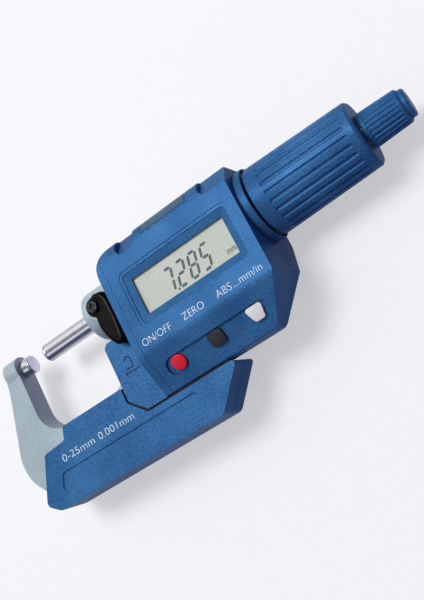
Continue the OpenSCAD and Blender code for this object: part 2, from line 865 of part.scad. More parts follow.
module main_board() color(board_green) {
  chip = 9;
  pane(board_w, board_h, 0.8, board_top - board_t, board_top);
  // controller under the blob in the middle of the board's front
  pane(chip, chip - 3, 0.5, board_top, board_top + pad_t - 0.2);
}

module button(kind) {
  on_strip(button_x(kind), strip_u) {
    intersection() {
      translate([0, 0, flange_top])
        linear_extrude(button_rise - flange_top)
          button_outline(kind, 0);
      // crowned top
      translate([0, 0, button_rise - crown_r])
        sphere(r = crown_r);
    }
    translate([0, 0, flange_top - flange_t])
      linear_extrude(flange_t)
        button_outline(kind, flange_w);
    translate([0, 0, flange_top - flange_t - 1.4])
      cylinder(r = 1.2, h = 1.4);
  }
}

module button_power() color(red) button(0);

module button_zero() color(slate) button(1);

module button_mode() color(ivory) button(2);

module key_board() color(board_green) {
  edge = 4.4;
  on_strip((button_x(0) + button_x(2)) / 2 - 0.7, strip_u)
    plate(box_outline(2 * (button_pitch + key_margin), 2 * edge), even(0.8, 4), key_board_top - 1,
      key_board_top);
  for (k = [0:2])
    on_strip(button_x(k), strip_u)
      translate([0, 0, key_board_top])
        cylinder(r = dome_r, h = dome_t);
}

module battery() color(steel) {
  rim = 0.4;
  post(cell_x, cell_y, cell_d / 2, cell_z + rim, cell_z + cell_h - rim);
  post(cell_x, cell_y, cell_d / 2 - 0.8, cell_z, cell_z + cell_h);
}

module battery_contact() color(brass) {
  leaf = 0.3;
  leaf_r = cell_d * 0.3;
  post(cell_x, cell_y, leaf_r, cell_z + cell_h, cell_z + cell_h + leaf);
}

module battery_cap() color(dark_blue) {
  slot = 1.4;
  difference() {
    post(cell_x, cell_y, cover_r, -back_z, -back_z + cover_t - 0.5);
    slab(cell_x - cover_r * 0.7, cell_x + cover_r * 0.7, cell_y - slot / 2, cell_y + slot / 2,
      -back_z - 1, -back_z + 0.6);
  }
}

module battery_seal() color(black) {
  seal_t = 0.45;
  seal_z = -back_z + cover_t - seal_t;
  difference() {
    post(cell_x, cell_y, cover_r - 0.1, seal_z, seal_z + seal_t);
    post(cell_x, cell_y, well_r, seal_z - 1, seal_z + seal_t + 1);
  }
}

module port_cover() color(teal) {
  intersection() {
    difference() {
      housing_solid(0);
      housing_solid(port_t);
    }
    port_block(0);
  }
}

module port_socket() color(slate) {
  ear = 1.2;
  ear_y = top_y - wall;
  slab(port_x - ear, port_x + port_w + ear, ear_y - 0.8, ear_y, port_z + 2, port_z + 6);
  slab(port_x + 4, port_x + port_w - 4, ear_y - 3.2, ear_y - 0.8, port_z + 2, port_z + 6);
}

module grip_front() color(pearl_blue) {
  difference() {
    plate(grip_outline, grip_radii, part_line / 2, grip_z);
    frame_room();
    plate(panel_outline, even(2, 4), grip_z - panel_depth, grip_z + 1);
    for (p = grip_screw_at)
      post(p[0], p[1], grip_screw_r + 0.02, 0, grip_z - 1.2);
  }
}

module grip_back() color(pearl_blue) {
  difference() {
    plate(grip_outline, grip_radii, -grip_back_z, -part_line / 2);
    frame_room();
    for (p = grip_screw_at) {
      post(p[0], p[1], grip_screw_r + 0.1, -grip_back_z - 1, 0);
      post(p[0], p[1], grip_head_r + 0.1, -grip_back_z - 1, -grip_back_z + grip_head_t);
    }
  }
}

module grip_seal() color(black) {
  plate(seal_outline, even(0.1, 8), half_t + 2 * seat, grip_z - 0.8);
}

module grip_screws() color(steel) {
  drive = 0.6;
  for (p = grip_screw_at)
    difference() {
      union() {
        post(p[0], p[1], grip_screw_r, -grip_back_z + grip_head_t, grip_z - 1.4);
        post(p[0], p[1], grip_head_r, -grip_back_z + 0.1, -grip_back_z + grip_head_t);
      }
      translate([p[0], p[1], -grip_back_z])
        for (a = [0, 90])
          rotate([0, 0, a])
            slab(-1.4, 1.4, -drive / 2, drive / 2, -1, 0.7);
    }
}

lever_outline = [[-1.2, -4], [-1.4, -7.2], [-0.8, -10], [0.2, -12.6], [1.6, -14.7], [4, -15.5],
  [5.6, -13.8], [6.2, -7], [6, 0], [5, 3.3], [1.5, 4], [-1, 3]];
lever_radii = [0.5, 4, 6, 4, 1, 1, 1.5, 5, 3, 2, 1, 0.3];

module lock_lever() color(black) {
  dish = 0.5;
  translate([lock_x, 0, 0])
    difference() {
      union() {
        plate(lever_outline, lever_radii, lever_z, lever_z + lever_t);
        post(0, 0, lever_r, lever_z, lever_z + lever_t);
      }
      post(0, 0, lever_r - 0.65, lever_z + lever_t - dish, lever_z + lever_t + 1);
      post(0, 0, 1.5 + seat, lever_z - 1, lever_z + lever_t + 1);
    }
}

module lock_screw() color(black) {
  dish = 0.5;
  head_r = 2.3;
  head_z = lever_z + lever_t - dish;
  drive = 0.6;
  translate([lock_x, 0, 0])
    difference() {
      union() {
        post(0, 0, 1.5, seat_z - 2, head_z);
        translate([0, 0, head_z])
          cylinder(r1 = head_r, r2 = head_r - 0.5, h = 1.3);
      }
      slab(-1.3, 1.3, -drive / 2, drive / 2, head_z + 0.6, head_z + 2);
      slab(-drive / 2, drive / 2, -1.3, 1.3, head_z + 0.6, head_z + 2);
    }
}

module lock_bolt() color(steel) {
  difference() {
    post(lock_x, 0, bolt_r, shoe_top + 0.1, lever_z);
    post(lock_x, 0, 1.5 + seat, seat_z - 2, lever_z + 1);
  }
}

module lock_shoe() color(brass) {
  difference() {
    post(lock_x, 0, bolt_r - seat, rod_r - 0.6, shoe_top);
    rod(lock_x - bolt_r - 1, lock_x + bolt_r + 1, rod_r + run);
  }
}

c_frame();
anvil();
anvil_tip();
spindle();
spindle_tip();
spindle_key();
guide_sleeve();
sleeve_nut();
drive_hub();
drive_nut();
encoder_stator();
encoder_rotor();
collar_ring();
thimble();
ratchet_stub();
ratchet_pawl();
ratchet_spring();
ratchet_knob();
ratchet_screw();
ratchet_cap();
housing_front();
housing_back();
housing_strip();
housing_screws();
chin_front();
chin_back();
bezel_frame();
window_lens();
lcd_panel();
lcd_connector();
main_board();
button_power();
button_zero();
button_mode();
key_board();
battery();
battery_contact();
battery_cap();
battery_seal();
port_cover();
port_socket();
grip_front();
grip_back();
grip_seal();
grip_screws();
lock_lever();
lock_screw();
lock_bolt();
lock_shoe();
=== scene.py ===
"""Looks of the digital outside micrometer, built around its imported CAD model."""

import json
import logging
import math
from dataclasses import dataclass
from enum import Enum
from typing import Any, Protocol, Sequence

import bmesh
import bpy
from mathutils import Matrix, Vector


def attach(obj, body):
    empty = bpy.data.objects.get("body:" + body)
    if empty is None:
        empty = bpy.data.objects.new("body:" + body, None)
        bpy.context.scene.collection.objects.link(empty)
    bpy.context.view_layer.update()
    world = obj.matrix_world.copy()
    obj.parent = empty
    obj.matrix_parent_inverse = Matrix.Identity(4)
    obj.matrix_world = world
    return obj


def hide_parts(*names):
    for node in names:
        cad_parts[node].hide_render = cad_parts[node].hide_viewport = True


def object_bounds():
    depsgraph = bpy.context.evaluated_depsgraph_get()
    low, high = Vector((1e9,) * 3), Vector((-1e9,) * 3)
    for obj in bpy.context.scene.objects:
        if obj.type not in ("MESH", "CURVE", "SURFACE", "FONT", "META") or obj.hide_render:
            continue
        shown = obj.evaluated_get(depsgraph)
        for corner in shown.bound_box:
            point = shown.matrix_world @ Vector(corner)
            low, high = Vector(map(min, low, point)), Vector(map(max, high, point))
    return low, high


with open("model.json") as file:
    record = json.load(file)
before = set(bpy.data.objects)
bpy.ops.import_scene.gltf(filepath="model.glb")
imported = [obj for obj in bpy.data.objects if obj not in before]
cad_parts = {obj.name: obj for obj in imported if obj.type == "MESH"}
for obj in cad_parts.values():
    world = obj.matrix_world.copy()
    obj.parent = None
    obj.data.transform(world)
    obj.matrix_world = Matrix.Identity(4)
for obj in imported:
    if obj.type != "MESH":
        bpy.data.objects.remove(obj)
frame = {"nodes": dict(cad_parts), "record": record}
CAD_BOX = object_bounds()
log = logging.getLogger("micrometer")

MM = 0.001
SLOT_OF = {s["node"]: s["material_slot"] for s in frame["record"]["subparts"]}
BODY_OF = {n: b for b, nodes in frame["record"]["behaviour"]["bodies"].items() for n in nodes}
# edges that turn by more than this are rounded or stay crisp
SHARP = math.radians(40)
# faces that turn by less than this are one flat face
FLAT = math.radians(0.3)
# vertices closer than this are one, in metres
WELD = 2e-7


class Slot(Enum):
    """Material slots of the record that the finishes belong to."""

    ENAMEL = "grey_enamel"
    PEARL = "pearl_blue"
    INLAY = "inlay_blue"
    STEEL = "ground_steel"
    CARBIDE = "carbide"
    BRASS = "brass"
    GLOSS = "black_gloss"
    RUBBER = "black_rubber"
    PANE = "clear_pane"
    LCD = "lcd_glass"
    BOARD = "circuit_board"
    SLATE = "slate_plastic"
    RED = "red_plastic"
    IVORY = "ivory_plastic"
    TEAL = "teal_rubber"


class Bar(Enum):
    """The seven bars of a display digit, as (start, end) on a grid of 1 by 2."""

    TOP = ((0, 2), (1, 2))
    UPPER_LEFT = ((0, 1), (0, 2))
    UPPER_RIGHT = ((1, 1), (1, 2))
    MIDDLE = ((0, 1), (1, 1))
    LOWER_LEFT = ((0, 0), (0, 1))
    LOWER_RIGHT = ((1, 0), (1, 1))
    BOTTOM = ((0, 0), (1, 0))


DIGIT_BARS = {
    "7": (Bar.TOP, Bar.UPPER_RIGHT, Bar.LOWER_RIGHT),
    "2": (Bar.TOP, Bar.UPPER_RIGHT, Bar.MIDDLE, Bar.LOWER_LEFT, Bar.BOTTOM),
    "8": tuple(Bar),
    "5": (Bar.TOP, Bar.UPPER_LEFT, Bar.MIDDLE, Bar.LOWER_RIGHT, Bar.BOTTOM),
}


def linear(hex_code: str) -> tuple[float, float, float, float]:
    """Turns an sRGB hex colour into linear light.

    Args:
        hex_code: Six hex digits after a hash sign.

    Returns:
        Red, green, blue and a full alpha, each from 0 to 1.
    """
    parts = [int(hex_code[i:i + 2], 16) / 255 for i in (1, 3, 5)]
    r, g, b = (c / 12.92 if c <= 0.04045 else ((c + 0.055) / 1.055) ** 2.4 for c in parts)
    return r, g, b, 1.0


def per_mm(size: float) -> float:
    """Texture scale whose pattern repeats about every size millimetres."""
    return 1 / (size * MM)


def add_node(tree: bpy.types.NodeTree, kind: str, settings: dict[Any, Any] | None = None,
             links: dict[Any, bpy.types.NodeSocket] | None = None) -> bpy.types.Node:
    """Adds one shader node.

    Args:
        tree: Node tree that gets the node.
        kind: Blender's name of the node type.
        settings: Values for inputs, by name or number, or else for attributes.
        links: Output sockets to join to inputs, by name or number.

    Returns:
        The new node.
    """
    node = tree.nodes.new(kind)
    for name, value in (settings or {}).items():
        if isinstance(name, int) or name in node.inputs:
            node.inputs[name].default_value = value
        else:
            setattr(node, name, value)
    for name, socket in (links or {}).items():
        tree.links.new(socket, node.inputs[name])
    return node


def new_material(name: str) -> tuple[bpy.types.Material, bpy.types.NodeTree]:
    """Makes an empty node material.

    Args:
        name: Name of the material.

    Returns:
        The material and its cleared node tree.
    """
    material = bpy.data.materials.new(name)
    material.use_nodes = True
    material.node_tree.nodes.clear()
    return material, material.node_tree


def set_ramp(node: bpy.types.Node, stops: Sequence[tuple[float, str]]) -> None:
    """Gives a colour ramp its stops.

    Args:
        node: The Color Ramp node.
        stops: Places from 0 to 1 with their sRGB hex colours.
    """
    while len(node.color_ramp.elements) < len(stops):
        node.color_ramp.elements.new(0.5)
    for element, (place, colour) in zip(node.color_ramp.elements, stops):
        element.position = place
        element.color = linear(colour)


class Finish(Protocol):
    """What every finish offers to the pieces."""

    def material(self) -> bpy.types.Material:
        """Gives the material of the finish."""


@dataclass(frozen=True)
class Grained:
    """Finish with a fine grain over a broader drift of tone.

    The grain shifts the colour between three tones and lifts the surface a little.
    """

    name: str
    dark: str
    mid: str
    light: str
    grain: float
    drift: float
    roughness: float
    metallic: float = 0.0
    specular: float = 0.5
    bump: float = 0.004
    spread: float = 0.12
    # part of the drift in the tone, and how far the grain changes the roughness
    drift_share: float = 0.3
    rub: float = 0.06

    def material(self) -> bpy.types.Material:
        """Builds the node material.

        Returns:
            The material, shared by all pieces with this finish.
        """
        known = bpy.data.materials.get(self.name)
        if known:
            return known
        material, tree = new_material(self.name)
        place = add_node(tree, "ShaderNodeTexCoord").outputs["Object"]
        fine = add_node(tree, "ShaderNodeTexNoise",
                        {"Scale": per_mm(self.grain), "Detail": 2.0, "Roughness": 0.6}, {"Vector": place})
        broad = add_node(tree, "ShaderNodeTexNoise",
                         {"Scale": per_mm(self.drift), "Detail": 1.0}, {"Vector": place})
        tone = add_node(tree, "ShaderNodeMix", {"data_type": "FLOAT", "Factor": self.drift_share},
                        {2: fine.outputs["Fac"], 3: broad.outputs["Fac"]})
        ramp = add_node(tree, "ShaderNodeValToRGB", None, {"Fac": tone.outputs[0]})
        set_ramp(ramp, ((0.5 - self.spread, self.dark), (0.5, self.mid), (0.5 + self.spread, self.light)))
        rough = add_node(tree, "ShaderNodeMapRange",
                         {"To Min": self.roughness - self.rub, "To Max": self.roughness + self.rub},
                         {"Value": fine.outputs["Fac"]})
        relief = add_node(tree, "ShaderNodeBump", {"Strength": 0.6, "Distance": self.bump * MM},
                          {"Height": fine.outputs["Fac"]})
        shader = add_node(tree, "ShaderNodeBsdfPrincipled",
                          {"Metallic": self.metallic, "Specular IOR Level": self.specular},
                          {"Base Color": ramp.outputs["Color"], "Roughness": rough.outputs["Result"],
                           "Normal": relief.outputs["Normal"]})
        add_node(tree, "ShaderNodeOutputMaterial", None, {"Surface": shader.outputs["BSDF"]})
        return material


@dataclass(frozen=True)
class Turned:
    """Metal cut on a lathe or ground round, with fine lines around the measuring line."""

    name: str
    dark: str
    light: str
    pitch: float
    roughness: float
    bump: float = 0.0006
    metallic: float = 1.0
    # scale of the pattern around the rod, small for long lines, and how far they change the roughness
    stretch: float = 0.02
    rub: float = 0.05

    def material(self) -> bpy.types.Material:
        """Builds the node material.

        Returns:
            The material, shared by all pieces with this finish.
        """
        known = bpy.data.materials.get(self.name)
        if known:
            return known
        material, tree = new_material(self.name)
        place = add_node(tree, "ShaderNodeTexCoord").outputs["Object"]
        # the lines lie across X, so the pattern is drawn out along the other two axes
        squeeze = add_node(tree, "ShaderNodeMapping", {"Scale": (1.0, self.stretch, self.stretch)},
                           {"Vector": place})
        lines = add_node(tree, "ShaderNodeTexNoise",
                         {"Scale": per_mm(self.pitch), "Detail": 3.0, "Roughness": 0.7},
                         {"Vector": squeeze.outputs["Vector"]})
        ramp = add_node(tree, "ShaderNodeValToRGB", None, {"Fac": lines.outputs["Fac"]})
        set_ramp(ramp, ((0.3, self.dark), (0.7, self.light)))
        rough = add_node(tree, "ShaderNodeMapRange",
                         {"To Min": self.roughness - self.rub, "To Max": self.roughness + self.rub},
                         {"Value": lines.outputs["Fac"]})
        relief = add_node(tree, "ShaderNodeBump", {"Strength": 0.5, "Distance": self.bump * MM},
                          {"Height": lines.outputs["Fac"]})
        shader = add_node(tree, "ShaderNodeBsdfPrincipled", {"Metallic": self.metallic},
                          {"Base Color": ramp.outputs["Color"], "Roughness": rough.outputs["Result"],
                           "Normal": relief.outputs["Normal"]})
        add_node(tree, "ShaderNodeOutputMaterial", None, {"Surface": shader.outputs["BSDF"]})
        return material


@dataclass(frozen=True)
class Clear:
    """Clear coated pane of the display window, with faint wipe marks in its gloss."""

    name: str
    tint: str
    body: float
    roughness: float
    smear: float
    rub: float = 0.1
    ior: float = 1.49
    specular: float = 0.3

    def material(self) -> bpy.types.Material:
        """Builds the node material.

        Returns:
            The material of the pane.
        """
        material, tree = new_material(self.name)
        place = add_node(tree, "ShaderNodeTexCoord").outputs["Object"]
        smear = add_node(tree, "ShaderNodeTexNoise", {"Scale": per_mm(self.smear), "Detail": 2.0},
                         {"Vector": place})
        rough = add_node(tree, "ShaderNodeMapRange",
                         {"To Min": self.roughness - self.rub, "To Max": self.roughness + self.rub},
                         {"Value": smear.outputs["Fac"]})
        shader = add_node(tree, "ShaderNodeBsdfPrincipled",
                          {"Base Color": linear(self.tint), "Alpha": self.body, "IOR": self.ior,
                           "Specular IOR Level": self.specular},
                          {"Roughness": rough.outputs["Result"]})
        add_node(tree, "ShaderNodeOutputMaterial", None, {"Surface": shader.outputs["BSDF"]})
        return material


# satin lacquer with pearl flakes over moulded housings: a lively blue with a fine glint;
# real flakes are near 0.05 mm and are drawn coarser so that they show
PEARL_LACQUER = Grained("pearl_lacquer_on_abs", "#2a5486", "#356595", "#4478aa", grain=0.4, drift=14,
                        roughness=0.42, metallic=0.16, specular=0.02)
# the display frame is moulded in a flatter blue with little gloss
INLAY_LACQUER = Grained("moulded_blue_bezel", "#2e5c8a", "#346493", "#3b6d9c", grain=0.5, drift=12,
                        roughness=0.5, metallic=0.08, specular=0.02)
# stoved hammer enamel on the iron frame: grey-green with pale and dark specks under a soft gloss
HAMMER_ENAMEL = Grained("stoved_hammer_enamel", "#94a8ae", "#a1b5bb", "#aec1c6", grain=0.55, drift=9,
                        roughness=0.36, specular=0.9, bump=0.03, spread=0.16)
# centreless-ground tool steel: bright, with fine lines around the rod
GROUND_STEEL = Turned("centreless_ground_steel", "#b4b5ba", "#d6d6da", pitch=0.25, roughness=0.22)
# lapped carbide faces: bluer and more even than the steel
LAPPED_CARBIDE = Turned("lapped_carbide", "#aeacc4", "#d0cee0", pitch=0.3, roughness=0.3)
# turned brass inside the drive: warm and softly bright
TURNED_BRASS = Turned("turned_brass", "#a58642", "#cfae62", pitch=0.3, roughness=0.28)
# black paint on the die-cast lever: deep black, with a soft light along its edge
GLOSS_BLACK = Grained("gloss_black_paint", "#060607", "#0a0a0b", "#101012", grain=0.8, drift=6,
                      roughness=0.3, specular=0.08, bump=0.002)
# blackened steel of the lever's screw: dark grey, its edges catch the light
BLACKENED_STEEL = Grained("blackened_steel_screw", "#2c2f31", "#383b3e", "#464a4d", grain=0.4, drift=3,
                          roughness=0.28, metallic=0.8, bump=0.002)
# black nitrile of the seal: matt and even
SEAL_NITRILE = Grained("black_nitrile", "#141415", "#1b1b1c", "#242425", grain=0.4, drift=5, roughness=0.75)
# the display's polariser over glass: grey-green, with a silky grain
LCD_POLARISER = Grained("lcd_polariser", "#c2c9bb", "#cbd2c4", "#d3d9cd", grain=0.5, drift=16,
                        roughness=0.5, bump=0.0, specular=0.2)
# liquid crystal that is switched on: a dark blue-grey that lets a little light through
LCD_BARS = Grained("lcd_switched_bars", "#47555c", "#505f65", "#5a686e", grain=0.6, drift=8,
                   roughness=0.55, bump=0.0, specular=0.2)
# green solder mask over copper: glossy, with paler tracks
SOLDER_MASK = Grained("green_solder_mask", "#0d4a2c", "#14603a", "#2b8455", grain=1.2, drift=6, roughness=0.3)
# moulded keys with the fine grain of their tool
SLATE_KEY = Grained("slate_abs_key", "#272d2f", "#30373a", "#3b4346", grain=0.35, drift=4,
                    specular=0.3, roughness=0.45)
RED_KEY = Grained("red_abs_key", "#d8162d", "#e81d36", "#f03a4a", grain=0.35, drift=4,
                  specular=0.3, roughness=0.38)
IVORY_KEY = Grained("ivory_abs_key", "#efede2", "#f6f5ec", "#faf9f4", grain=0.35, drift=4,
                    specular=0.3, roughness=0.42)
# soft blue-grey rubber that closes the data port
PORT_RUBBER = Grained("teal_grey_rubber", "#2c5068", "#345c76", "#3e6984", grain=0.4, drift=6, roughness=0.55)
# white pad-printing ink: thin and matt, a little blue from the lacquer under it
PAD_INK = Grained("white_pad_ink", "#cfdde9", "#dbe7f0", "#e8f0f5", grain=0.4, drift=5, roughness=0.55)
# painted shade: dark blue on the bottom of the engraved sign, standing for the shade that falls in the
# engraving
SIGN_PAINTED_SHADE = Grained("painted_sign_shade_blue", "#18305c", "#1d3566", "#233d72", grain=0.4, drift=4, roughness=0.6)
# cast acrylic with a coat against glare: clear, with hardly any mirror image
CLEAR_ACRYLIC = Clear("coated_cast_acrylic", "#c2c8c3", body=0.02, roughness=0.35, smear=6)

FINISH_OF = {
    Slot.ENAMEL: HAMMER_ENAMEL, Slot.PEARL: PEARL_LACQUER, Slot.INLAY: INLAY_LACQUER,
    Slot.STEEL: GROUND_STEEL, Slot.CARBIDE: LAPPED_CARBIDE, Slot.BRASS: TURNED_BRASS,
    Slot.GLOSS: GLOSS_BLACK, Slot.RUBBER: SEAL_NITRILE, Slot.PANE: CLEAR_ACRYLIC,
    Slot.LCD: LCD_POLARISER, Slot.BOARD: SOLDER_MASK, Slot.SLATE: SLATE_KEY,
    Slot.RED: RED_KEY, Slot.IVORY: IVORY_KEY, Slot.TEAL: PORT_RUBBER,
}


@dataclass(frozen=True)
class Zone:
    """Box in millimetres that picks edges of a solid."""

    low: tuple[float, float, float] = (-1e3, -1e3, -1e3)
    high: tuple[float, float, float] = (1e3, 1e3, 1e3)

    def holds(self, edge: bmesh.types.BMEdge) -> bool:
        """True where both ends of the edge are in the box."""
        return all(lo * MM <= c <= hi * MM for v in edge.verts
                   for lo, c, hi in zip(self.low, v.co, self.high))


@dataclass(frozen=True)
class Rounding:
    """One pass of rounding over the sharp edges in a zone."""

    width: float
    segments: int = 3
    zone: Zone = Zone()


def link_object(name: str, mesh: bpy.types.Mesh) -> bpy.types.Object:
    """Puts a mesh into the scene.

    Args:
        name: Name of the new object.
        mesh: Its mesh, in metres in the row frame.

    Returns:
        The object.
    """
    piece = bpy.data.objects.new(name, mesh)
    bpy.context.scene.collection.objects.link(piece)
    return piece


def settle(piece: bpy.types.Object, node: str, finish: Finish, stands_for: bool = True) -> bpy.types.Object:
    """Gives a piece its finish and ties it to the body of a CAD node.

    Args:
        piece: The new piece.
        node: The CAD node that it belongs to.
        finish: Its finish.
        stands_for: Whether the piece replaces that node.

    Returns:
        The same piece.
    """
    piece.data.materials.clear()
    piece.data.materials.append(finish.material())
    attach(piece, BODY_OF[node])
    if stands_for:
        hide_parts(node)
    log.info("%s on %s, %d faces", piece.name, BODY_OF[node], len(piece.data.polygons))
    return piece


def smooth(piece: bpy.types.Object, crisp: float = SHARP) -> None:
    """Shades a piece smooth, with normals that follow its large faces.

    Args:
        piece: The piece to shade.
        crisp: Edges that turn by more than this angle stay crisp.
    """
    mesh = piece.data
    mesh.polygons.foreach_set("use_smooth", [True] * len(mesh.polygons))
    mesh.set_sharp_from_angle(angle=crisp)
    weigh = piece.modifiers.new("even_normals", "WEIGHTED_NORMAL")
    weigh.keep_sharp = True


def softened(node: str, name: str, passes: Sequence[Rounding], finish: Finish) -> bpy.types.Object:
    """Copies a CAD node with its edges rounded as moulding, casting or machining leaves them.

    Args:
        node: CAD node to stand for.
        name: Name of the new piece.
        passes: Rounding passes, the most special zone first.
        finish: Its finish.

    Returns:
        The new piece.
    """
    work = bmesh.new()
    work.from_mesh(frame["nodes"][node].data)
    bmesh.ops.remove_doubles(work, verts=work.verts, dist=WELD)
    bmesh.ops.dissolve_limit(work, angle_limit=FLAT, verts=work.verts, edges=work.edges)
    for step in passes:
        edges = [e for e in work.edges if len(e.link_faces) == 2 and step.zone.holds(e)
                 and e.calc_face_angle(0) > SHARP]
        bmesh.ops.bevel(work, geom=edges, offset=step.width * MM, offset_type="OFFSET",
                        segments=step.segments, profile=0.5, affect="EDGES", clamp_overlap=True)
    mesh = bpy.data.meshes.new(name)
    work.to_mesh(mesh)
    work.free()
    worn = mesh.attributes.get("custom_normal")
    if worn:
        mesh.attributes.remove(worn)
    piece = link_object(name, mesh)
    smooth(piece)
    return settle(piece, node, finish)


def mesh_piece(name: str, points: Sequence[Sequence[float]],
               faces: Sequence[Sequence[int]]) -> bpy.types.Object:
    """Makes a piece from points in millimetres.

    Args:
        name: Name of the piece.
        points: Corner points in the row frame.
        faces: Corner numbers of each face.

    Returns:
        The linked object.
    """
    mesh = bpy.data.meshes.new(name)
    mesh.from_pydata([tuple(c * MM for c in p) for p in points], [], faces)
    mesh.validate()
    mesh.update()
    return link_object(name, mesh)


@dataclass
class Lettering:
    """Flat printed words in a plane that faces +Z."""

    height: float = 2.35
    thickness: float = 0.02
    # the print's strokes are thinner than the built-in face's, by this share of its size
    thin: float = 0.012

    def outline(self, words: str) -> bpy.types.Mesh:
        """Turns words into a flat mesh of the built-in face.

        Args:
            words: Text to draw.

        Returns:
            A mesh in the XY plane, in the face's own units.
        """
        curve = bpy.data.curves.new("words", "FONT")
        curve.body = words
        curve.resolution_u = 4
        curve.offset = -self.thin
        source = bpy.data.objects.new("words", curve)
        bpy.context.scene.collection.objects.link(source)
        found = source.evaluated_get(bpy.context.evaluated_depsgraph_get())
        mesh = bpy.data.meshes.new_from_object(found)
        bpy.data.objects.remove(source)
        bpy.data.curves.remove(curve)
        return mesh

    def place(self, name: str, words: str, start: float, end: float, base: float, level: float,
              node: str, ink: Finish) -> bpy.types.Object:
        """Prints words between two stations along X.

        Args:
            name: Name of the piece.
            words: Text to print.
            start: Left end in millimetres.
            end: Right end in millimetres.
            base: Height of the base line along Y.
            level: Height of the printed face along Z.
            node: CAD node that carries the print.
            ink: Finish of the print.

        Returns:
            The printed piece.
        """
        capital = max(v.co.y for v in self.outline("E").vertices)
        mesh = self.outline(words)
        mesh.name = name
        lowest = min(v.co.x for v in mesh.vertices)
        width = max(v.co.x for v in mesh.vertices) - lowest
        for vert in mesh.vertices:
            x = start + (vert.co.x - lowest) / width * (end - start)
            y = base + vert.co.y / capital * self.height
            vert.co = Vector((x, y, level + self.thickness)) * MM
        piece = link_object(name, mesh)
        return settle(piece, node, ink, stands_for=False)


@dataclass
class EnamelFrame:
    """The cast C-shaped frame."""

    edge: float = 0.7
    boss_edge: float = 0.25
    lock_seat: Zone = Zone((33.5, -6.5, 5), (43.5, 6.5, 9.2))

    def build(self) -> None:
        """Rounds the casting's edges, less around the lock's seat."""
        softened("c_frame", "frame_casting",
                 (Rounding(self.boss_edge, 2, self.lock_seat), Rounding(self.edge, 3)), HAMMER_ENAMEL)


@dataclass
class MeasuringRods:
    """The anvil and the spindle with their carbide faces."""

    edge: float = 0.12

    def build(self) -> None:
        """Breaks the ground edges of each piece."""
        for node, finish in (("anvil", GROUND_STEEL), ("spindle", GROUND_STEEL),
                             ("anvil_tip", LAPPED_CARBIDE), ("spindle_tip", LAPPED_CARBIDE)):
            softened(node, node + "_ground", (Rounding(self.edge, 2),), finish)


@dataclass
class DisplayHousing:
    """The two shells, the end strip and the screws of the display housing."""

    edge: float = 0.3
    fine: float = 0.1
    window: Zone = Zone((50, -18, 12), (97, 5, 14.1))
    keys: Zone = Zone((49, -36.2, 6), (97, -24, 14.1))
    parting: Zone = Zone((40, -40, -2.2), (110, 20, -1.9))

    def build(self) -> None:
        """Rounds the shells: fine around the display, keys and parting lines."""
        softened("housing_front", "housing_front_shell",
                 (Rounding(self.fine, 2, self.window), Rounding(self.fine, 2, self.keys),
                  Rounding(self.fine, 2, self.parting), Rounding(self.edge, 3)), PEARL_LACQUER)
        softened("housing_back", "housing_back_shell",
                 (Rounding(self.fine, 2, self.parting), Rounding(self.edge, 3)), PEARL_LACQUER)
        softened("housing_strip", "housing_end_strip", (Rounding(self.edge, 3),), PEARL_LACQUER)
        softened("housing_screws", "housing_screw_heads", (Rounding(self.fine, 2),), GROUND_STEEL)


@dataclass
class Display:
    """Window, liquid crystal and the lit digits of the display."""

    left: float = 66.55
    pitch: float = 4.8
    width: float = 2.75
    low: float = -11.2
    height: float = 7.5
    slant: float = 0.235
    bar: float = 0.92
    gap: float = 0.17
    level: float = 12.0
    ink: float = 0.02
    edge: float = 0.15
    reading: str = "7285"
    # the point after the first digit: how far left of the second and under the base line
    dot_left: float = 0.72
    dot_drop: float = 0.1
    dot_r: float = 0.414
    dot_corners: int = 12
    unit_span: tuple[float, float] = (88.2, 91.5)
    unit_height: float = 2.1
    # the unit's strokes are a little bolder than the built-in face's
    unit_thin: float = -0.01
    # the pane stands clear of the digits under it
    pane_lift: float = 0.1

    def bar_corners(self, bar: Bar, origin: float) -> list[tuple[float, float]]:
        """Outline of one bar.

        Args:
            bar: The bar to draw.
            origin: Left end of its digit along X, at the base line.

        Returns:
            Six corners in the display's plane.
        """
        (x0, y0), (x1, y1) = bar.value
        start = Vector((x0 * self.width, y0 * self.height / 2))
        end = Vector((x1 * self.width, y1 * self.height / 2))
        along = (end - start).normalized()
        side = Vector((-along.y, along.x)) * self.bar / 2
        start, end = start + along * self.gap, end - along * self.gap
        tip = along * self.bar / 2
        flat = [start, start + tip + side, end - tip + side, end, end - tip - side, start + tip - side]
        return [(origin + p.x + p.y * self.slant, self.low + p.y) for p in flat]

    def digits(self) -> None:
        """Draws the reading as slanted bars with a point after the first digit."""
        points: list[tuple[float, float, float]] = []
        faces: list[list[int]] = []
        start = self.left - self.height * self.slant
        outlines = [self.bar_corners(bar, start + place * self.pitch)
                    for place, figure in enumerate(self.reading) for bar in DIGIT_BARS[figure]]
        dot_x, dot_y = start + self.pitch - self.dot_left, self.low - self.dot_drop
        turns = [2 * math.pi * k / self.dot_corners for k in range(self.dot_corners)]
        outlines.append([(dot_x + self.dot_r * math.cos(a), dot_y + self.dot_r * math.sin(a)) for a in turns])
        for outline in outlines:
            faces.append(list(range(len(points), len(points) + len(outline))))
            points += [(x, y, self.level + self.ink) for x, y in outline]
        settle(mesh_piece("display_digits", points, faces), "lcd_panel", LCD_BARS, stands_for=False)

    def build(self) -> None:
        """Dresses the display from the glass up to its frame."""
        softened("lcd_panel", "lcd_glass_panel", (Rounding(self.edge, 2),), LCD_POLARISER)
        self.digits()
        unit = Lettering(self.unit_height, thin=self.unit_thin)
        unit.place("display_unit", "mm", *self.unit_span, self.low, self.level, "lcd_panel", LCD_BARS)
        pane = softened("window_lens", "window_pane", (Rounding(self.edge, 2),), CLEAR_ACRYLIC)
        for vert in pane.data.vertices:
            vert.co.z = max(vert.co.z, (self.level + self.pane_lift) * MM)
        softened("bezel_frame", "display_bezel", (Rounding(self.edge, 2),), INLAY_LACQUER)


